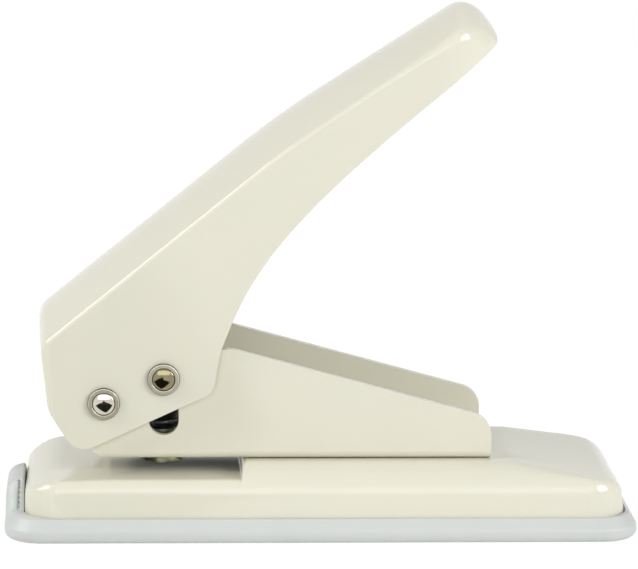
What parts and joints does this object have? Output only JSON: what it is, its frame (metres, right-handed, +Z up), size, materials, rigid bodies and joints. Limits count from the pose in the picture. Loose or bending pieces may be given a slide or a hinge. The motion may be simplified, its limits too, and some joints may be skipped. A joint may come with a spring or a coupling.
{
  "type": "single hole punch",
  "caption": "Desk paper punch with a sloping lever hood on a channel frame, a drawn base with a paper step and a clip-on chip tray with a pull tab.",
  "frame": {"origin": "middle of the tray's underside, on the table", "axes": "+X from the paper side to the grip side, +Z up, the handle's pins along Y"},
  "size_m": [0.1194, 0.045, 0.0992],
  "materials": {
    "cream_paint": "gloss cream stove enamel on pressed steel",
    "tray_plastic": "satin white moulded polyethylene",
    "nickel_pin": "polished nickel plate",
    "tool_steel": "ground hardened steel",
    "zinc_steel": "zinc plated steel",
    "spring_steel": "drawn spring wire"
  },
  "bodies": {
    "tray": {"chip_tray": "tray_plastic"},
    "base": {"base_cover": "cream_paint", "die_bush": "tool_steel", "frame": "cream_paint", "frame_rivets": "zinc_steel", "punch_guide": "tool_steel", "spring_seat": "zinc_steel", "return_spring": "spring_steel", "pivot_spacer": "zinc_steel"},
    "handle": {"handle": "cream_paint", "drive_pin": "nickel_pin", "pivot_pin": "nickel_pin", "pivot_washers": "zinc_steel"},
    "punch": {"punch": "tool_steel", "spring_cap": "zinc_steel"}
  },
  "joints": [
    {"name": "tray_release", "type": "slide", "parent": "tray", "child": "base", "axis": [0, 0, 1], "range_m": [0, 0.02]},
    {"name": "handle_press", "type": "hinge", "parent": "base", "child": "handle", "pos_m": [-0.04105, 0, 0.0253], "axis": [0, 1, 0], "range_deg": [0, 30], "stiffness_Nm_per_rad": 0.6, "springref_deg": -20.05},
    {"name": "punch_slide", "type": "slide", "parent": "base", "child": "punch", "axis": [0, 0, -1], "range_m": [0, 0.0063], "deforming": ["return_spring"]}
  ],
  "couplings": [
    {"joint": "punch_slide", "follows": "handle_press", "m_per_rad": 0.011854}
  ]
}
